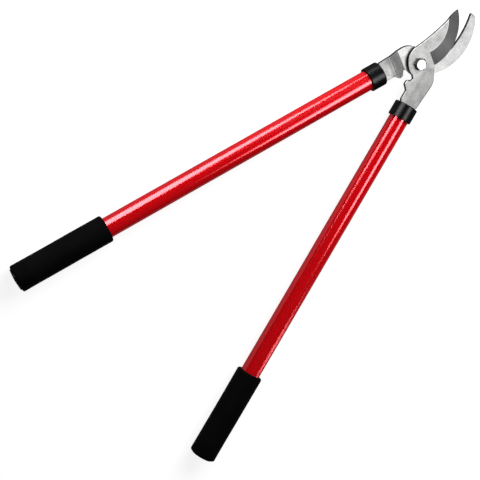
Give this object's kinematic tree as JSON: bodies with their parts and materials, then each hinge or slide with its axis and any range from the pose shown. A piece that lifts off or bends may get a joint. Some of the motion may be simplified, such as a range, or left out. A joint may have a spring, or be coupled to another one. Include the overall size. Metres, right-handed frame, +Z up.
{
  "type": "bypass lopper",
  "caption": "Two-handed bypass lopper: curved cutting blade and joggled hook on one pivot bolt, tubular handles with foam grips.",
  "frame": {"origin": "centre of the bounding box at the ground plane, with the tool lying flat and its jaws part open", "axes": "+Z up and parallel to the pivot axis, +Y from the grips towards the blades along the bisector of the handles, +X towards the cutting blade's handle"},
  "size_m": [0.3772, 0.6406, 0.0344],
  "materials": {
    "red_paint": "gloss red paint on steel tube",
    "black_foam": "matt black foam rubber",
    "black_plastic": "satin black moulded plastic",
    "plate_steel": "satin blasted steel plate with a ground bevel",
    "zinc_steel": "bright zinc-plated steel",
    "nylon": "natural nylon"
  },
  "bodies": {
    "hook_handle": {"hook_blade": "plate_steel", "pivot_bolt": "zinc_steel", "pivot_washer": "zinc_steel", "pivot_lock_nut": "zinc_steel", "nut_nylon_ring": "nylon", "hook_tube": "red_paint", "hook_collar": "black_plastic", "hook_tang_liner_upper": "nylon", "hook_tang_liner_lower": "nylon", "hook_tang_pin": "zinc_steel", "hook_grip": "black_foam", "hook_end_cap": "black_plastic"},
    "blade_handle": {"cutting_blade": "plate_steel", "blade_tube": "red_paint", "blade_collar": "black_plastic", "blade_tang_liner_upper": "nylon", "blade_tang_liner_lower": "nylon", "blade_tang_pin": "zinc_steel", "blade_grip": "black_foam", "blade_end_cap": "black_plastic"}
  },
  "joints": [
    {"name": "pivot", "type": "hinge", "parent": "hook_handle", "child": "blade_handle", "pos_m": [0, 0.22476, 0.0172], "axis": [0, 0, 1], "range_deg": [-16.4, 78]}
  ]
}
